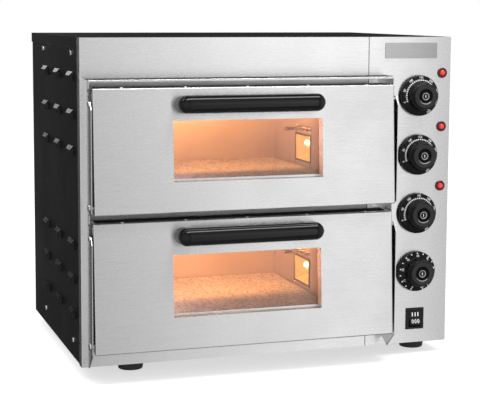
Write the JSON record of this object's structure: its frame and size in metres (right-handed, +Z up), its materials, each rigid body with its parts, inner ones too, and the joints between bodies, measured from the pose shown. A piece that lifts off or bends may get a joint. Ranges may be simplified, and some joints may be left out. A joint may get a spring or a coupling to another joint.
{
  "type": "countertop pizza oven",
  "caption": "Countertop double-deck electric pizza oven with drop-down windowed doors, bow handles, baking stones, rotary dials, pilot lights and a rocker switch.",
  "frame": {"origin": "middle of the footprint box, at the level the feet stand on", "axes": "+Z up, front faces -Y, +X to the operator's right"},
  "size_m": [0.5666, 0.4748, 0.477],
  "materials": {
    "brushed_steel": "horizontally brushed stainless sheet",
    "door_steel": "horizontally brushed stainless sheet",
    "black_paint": "satin black powder coat",
    "cover_paint": "satin dark grey powder coat",
    "galvanised": "plain sheet steel",
    "chamber_steel": "bright chamber liner sheet",
    "stone": "matt cordierite, fine speckle",
    "element_steel": "oxidised tube",
    "lamp_reflector": "bright reflector",
    "lamp_glass": "clear bulb",
    "screw_steel": "bright zinc",
    "probe_metal": "bracket and probe",
    "wool": "mineral wool",
    "door_glass": "clear toughened glass",
    "bakelite": "glossy black moulding",
    "knob_plastic": "satin black with white dial print",
    "control_plastic": "control bodies",
    "bezel_black": "gloss",
    "pilot_red": "translucent red lens",
    "switch_black": "gloss black",
    "rubber": "matt black",
    "badge": "brushed, blank"
  },
  "bodies": {
    "cabinet": {"base_pan": "galvanised", "left_side_panel": "black_paint", "right_side_panel": "black_paint", "top_cover": "cover_paint", "rear_panel": "black_paint", "front_frame": "brushed_steel", "door_surround": "brushed_steel", "control_panel": "brushed_steel", "badge_plate": "badge", "upper_chamber": "chamber_steel", "lower_chamber": "chamber_steel", "upper_stone": "stone", "lower_stone": "stone", "upper_elements": "element_steel", "lower_elements": "element_steel", "lamp_housings": "lamp_reflector", "lamp_bulbs": "lamp_glass", "probe_brackets": "probe_metal", "divider_panel": "galvanised", "insulation_top": "wool", "insulation_middle": "wool", "insulation_bottom": "wool", "thermostats": "control_plastic", "timer": "control_plastic", "pilot_bezels": "bezel_black", "pilot_lenses": "pilot_red", "switch_housing": "switch_black", "terminal_block": "control_plastic", "cable_gland": "knob_plastic", "feet": "rubber", "panel_screws": "screw_steel", "hinge_pins": "screw_steel", "door_stop_studs": "screw_steel"},
    "upper_door": {"upper_door_skin": "door_steel", "upper_door_inner_panel": "galvanised", "upper_door_glass": "door_glass", "upper_door_glass_retainer": "galvanised", "upper_door_insulation": "wool", "upper_door_hinge_bushes": "screw_steel", "upper_door_handle": "bakelite", "upper_door_screws": "screw_steel"},
    "lower_door": {"lower_door_skin": "door_steel", "lower_door_inner_panel": "galvanised", "lower_door_glass": "door_glass", "lower_door_glass_retainer": "galvanised", "lower_door_insulation": "wool", "lower_door_hinge_bushes": "screw_steel", "lower_door_handle": "bakelite", "lower_door_screws": "screw_steel"},
    "temp_knob_1_body": {"temp_knob_1": "knob_plastic", "temp_shaft_1": "screw_steel"},
    "temp_knob_2_body": {"temp_knob_2": "knob_plastic", "temp_shaft_2": "screw_steel"},
    "temp_knob_3_body": {"temp_knob_3": "knob_plastic", "temp_shaft_3": "screw_steel"},
    "timer_knob_body": {"timer_knob": "knob_plastic", "timer_shaft": "screw_steel"},
    "rocker_body": {"switch_rocker": "switch_black"}
  },
  "joints": [
    {"name": "upper_door_hinge", "type": "hinge", "parent": "cabinet", "child": "upper_door", "pos_m": [-0.0493, -0.1979, 0.247], "axis": [1, 0, 0], "range_deg": [0, 90]},
    {"name": "lower_door_hinge", "type": "hinge", "parent": "cabinet", "child": "lower_door", "pos_m": [-0.0493, -0.1979, 0.0547], "axis": [1, 0, 0], "range_deg": [0, 90]},
    {"name": "temp_knob_1_turn", "type": "hinge", "parent": "cabinet", "child": "temp_knob_1_body", "pos_m": [0.228, -0.1679, 0.3906], "axis": [0, 1, 0], "range_deg": [0, 290]},
    {"name": "temp_knob_2_turn", "type": "hinge", "parent": "cabinet", "child": "temp_knob_2_body", "pos_m": [0.228, -0.1679, 0.3028], "axis": [0, 1, 0], "range_deg": [0, 290]},
    {"name": "temp_knob_3_turn", "type": "hinge", "parent": "cabinet", "child": "temp_knob_3_body", "pos_m": [0.228, -0.1679, 0.215], "axis": [0, 1, 0], "range_deg": [0, 290]},
    {"name": "timer_knob_turn", "type": "hinge", "parent": "cabinet", "child": "timer_knob_body", "pos_m": [0.228, -0.1679, 0.1272], "axis": [0, 1, 0], "range_deg": [0, 330]},
    {"name": "switch_rock", "type": "hinge", "parent": "cabinet", "child": "rocker_body", "pos_m": [0.2285, -0.1639, 0.0545], "axis": [1, 0, 0], "range_deg": [0, 20]}
  ]
}
